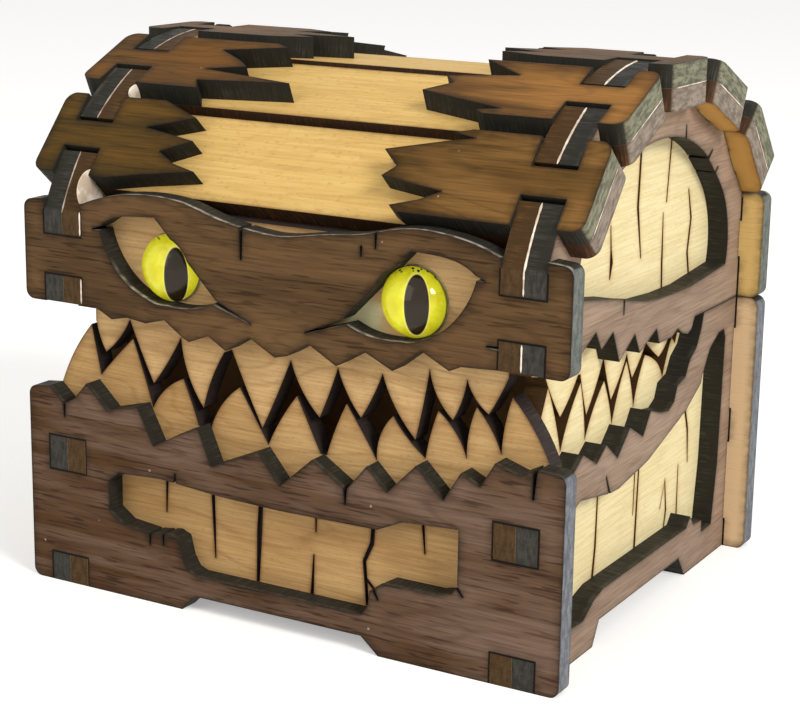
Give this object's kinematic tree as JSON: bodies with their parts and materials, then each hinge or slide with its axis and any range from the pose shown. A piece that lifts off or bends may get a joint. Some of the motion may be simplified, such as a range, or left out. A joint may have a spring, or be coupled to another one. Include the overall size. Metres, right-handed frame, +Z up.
{
  "type": "dice storage chest",
  "caption": "Small layered wooden chest with a fanged, glass-eyed face: barrel roof of notched boards, jagged teeth round the mouth and a lid on two brass butt hinges.",
  "frame": {"origin": "centre of the chest's bounding box in X and Y, on the plane its feet stand on", "axes": "+X to the right seen from the front, +Y to the back, where the hinges are, +Z up"},
  "size_m": [0.0874, 0.0747, 0.0799],
  "materials": {
    "walnut_panel": "oiled walnut veneer board with charred edges",
    "walnut_roof": "oiled walnut veneer board with charred edges",
    "maple_lining": "bare maple ply with browned edges",
    "maple_roof": "bare maple ply",
    "brass": "satin",
    "steel_pin": "drawn",
    "eye_glass": "clear polished",
    "eye_iris": "printed yellow iris with a slit pupil"
  },
  "bodies": {
    "base": {"base_front_panel": "walnut_panel", "base_front_lining": "maple_lining", "base_back_panel": "walnut_panel", "base_back_lining": "maple_lining", "base_floor": "maple_lining", "base_side_panel_left": "walnut_panel", "base_side_panel_right": "walnut_panel", "base_side_lining_left": "maple_lining", "base_side_lining_right": "maple_lining", "hinge_leaf_base_left": "brass", "hinge_leaf_base_right": "brass", "hinge_pin_left": "steel_pin", "hinge_pin_right": "steel_pin", "hinge_screws_base": "brass"},
    "lid": {"lid_front_panel": "walnut_panel", "lid_back_panel": "walnut_panel", "gable_panel_left": "walnut_panel", "gable_panel_right": "walnut_panel", "roof_cap_1_left": "walnut_roof", "roof_cap_1_right": "walnut_roof", "roof_cap_2_left": "walnut_roof", "roof_cap_2_right": "walnut_roof", "roof_cap_3_left": "walnut_roof", "roof_cap_3_right": "walnut_roof", "roof_cap_4_left": "walnut_roof", "roof_cap_4_right": "walnut_roof", "roof_cap_5_left": "walnut_roof", "roof_cap_5_right": "walnut_roof", "lid_front_lining": "maple_lining", "lid_back_lining": "maple_lining", "gable_lining_left": "maple_lining", "gable_lining_right": "maple_lining", "roof_plank_1": "maple_roof", "roof_plank_2": "maple_roof", "roof_plank_3": "maple_roof", "roof_plank_4": "maple_roof", "roof_plank_5": "maple_roof", "hinge_leaf_lid_left": "brass", "hinge_leaf_lid_right": "brass", "hinge_screws_lid": "brass", "eye_glass_left": "eye_glass", "eye_glass_right": "eye_glass", "eye_iris_left": "eye_iris", "eye_iris_right": "eye_iris"}
  },
  "joints": [
    {"name": "lid_hinge", "type": "hinge", "parent": "base", "child": "lid", "pos_m": [0, 0.0357, 0.0408], "axis": [-1, 0, 0], "range_deg": [0, 180]}
  ]
}
